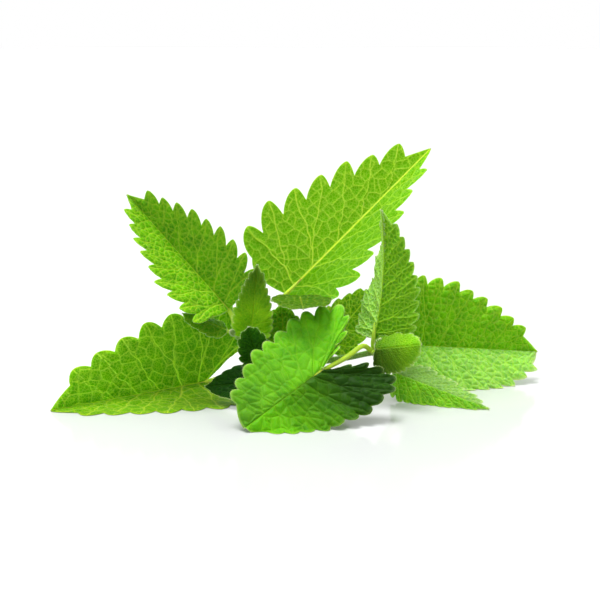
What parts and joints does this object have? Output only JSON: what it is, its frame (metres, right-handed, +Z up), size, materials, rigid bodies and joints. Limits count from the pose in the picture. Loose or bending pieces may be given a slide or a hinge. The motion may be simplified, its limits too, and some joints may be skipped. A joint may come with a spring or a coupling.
{
  "type": "mint sprig",
  "caption": "Cut sprig of a mint-family herb lying on a table: toothed, veined green leaves in pairs on a square stem with side shoots and small buds.",
  "frame": {"origin": "centre of the bounding box's base, on the surface that the sprig lies on", "axes": "+Z up from the surface, +X to the right along the sprig's longest extent, -Y towards its front; the cut end of the stem lies at the back, towards +Y"},
  "size_m": [0.1492, 0.0952, 0.0759],
  "materials": {
    "leaf": "satin",
    "young_leaf": "satin",
    "stem": "satin"
  },
  "bodies": {
    "root": {"leaf_top": "leaf", "leaf_top_front": "leaf", "leaf_upper_left": "leaf", "leaf_left": "leaf", "leaf_upright": "leaf", "leaf_right": "leaf", "leaf_low_right": "leaf", "leaf_front": "leaf", "leaf_young": "young_leaf", "leaf_inner_left": "young_leaf", "leaf_small_left": "leaf", "leaf_inner_back": "leaf", "leaf_behind": "leaf", "leaf_low_left": "leaf", "leaf_curl_left": "leaf", "stem_main": "stem", "shoot_left": "stem", "shoot_right": "stem", "bud_left": "young_leaf", "bud_right": "young_leaf"}
  },
  "joints": []
}
